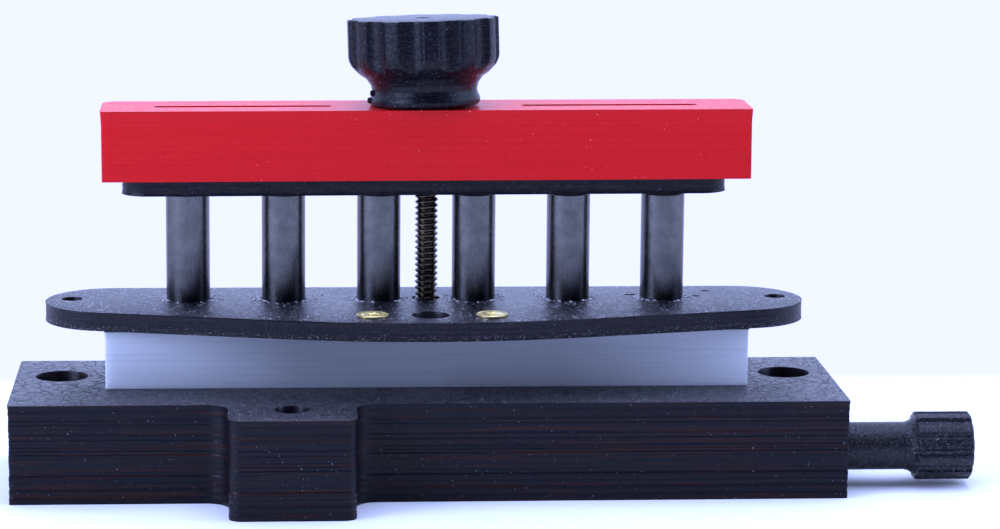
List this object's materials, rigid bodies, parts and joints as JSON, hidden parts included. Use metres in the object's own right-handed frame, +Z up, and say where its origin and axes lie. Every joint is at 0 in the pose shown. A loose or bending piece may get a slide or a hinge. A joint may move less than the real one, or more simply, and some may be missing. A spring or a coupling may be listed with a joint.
{
  "type": "edge tuning tool",
  "caption": "Hand jig for tuning ski and snowboard edges: printed base with stone pocket and thumbscrew, guide plate, steel guide posts and a screw-down clamp bar with a fluted knob.",
  "frame": {"origin": "point on the underside of the base, on the axis of the clamp screw", "axes": "+X along the tool towards the side thumbscrew, +Y towards the back, -Y the front with the boss, +Z up along the clamp screw"},
  "size_m": [0.1748, 0.0536, 0.0852],
  "materials": {
    "printed_black": "layered 3D-printed plastic, satin black",
    "spacer_white": "layered 3D-printed plastic, soft white",
    "post_steel": "dull ground steel",
    "screw_brass": "bright turned brass",
    "bar_red": "layered 3D-printed plastic, saturated red",
    "knob_black": "satin black printed plastic with bright worn ridges",
    "black_oxide": "black oxide steel",
    "zinc_steel": "zinc plated steel"
  },
  "bodies": {
    "root": {"base_block": "printed_black", "spacer_block": "spacer_white", "angle_shim": "printed_black", "guide_plate": "printed_black", "guide_post_1": "post_steel", "guide_post_2": "post_steel", "guide_post_3": "post_steel", "guide_post_4": "post_steel", "guide_post_5": "post_steel", "guide_post_6": "post_steel", "top_plate": "printed_black", "clamp_nut": "zinc_steel", "spacer_screws": "black_oxide", "plate_screw_left": "screw_brass", "plate_screw_right": "screw_brass", "side_nut": "zinc_steel"},
    "clamp_lift": {"thrust_washer": "black_oxide"},
    "clamp_bar": {"clamp_bar": "bar_red"},
    "clamp_knob": {"clamp_knob": "knob_black", "clamp_screw": "black_oxide", "bar_retainer": "black_oxide"},
    "side_jaw": {"side_jaw": "printed_black"},
    "side_knob": {"side_knob": "knob_black", "side_screw": "black_oxide"}
  },
  "joints": [
    {"name": "clamp_lift_slide", "type": "slide", "parent": "root", "child": "clamp_lift", "axis": [0, 0, 1], "range_m": [0, 0.00503]},
    {"name": "clamp_knob_turn", "type": "hinge", "parent": "clamp_lift", "child": "clamp_knob", "pos_m": [0, 0, 0.0695], "axis": [0, 0, 1], "range_deg": [0, 1710]},
    {"name": "clamp_bar_swivel", "type": "hinge", "parent": "clamp_lift", "child": "clamp_bar", "pos_m": [0, 0, 0.0618], "axis": [0, 0, 1], "continuous": true},
    {"name": "side_jaw_slide", "type": "slide", "parent": "root", "child": "side_jaw", "axis": [-1, 0, 0], "range_m": [0, 0.0088]},
    {"name": "side_knob_turn", "type": "hinge", "parent": "side_jaw", "child": "side_knob", "pos_m": [0.075, -0.01425, 0.0071], "axis": [-1, 0, 0], "range_deg": [0, 3970]}
  ],
  "couplings": [
    {"joint": "clamp_knob_turn", "follows": "clamp_lift_slide", "rad_per_m": 5927.5},
    {"joint": "side_knob_turn", "follows": "side_jaw_slide", "rad_per_m": 7854}
  ]
}
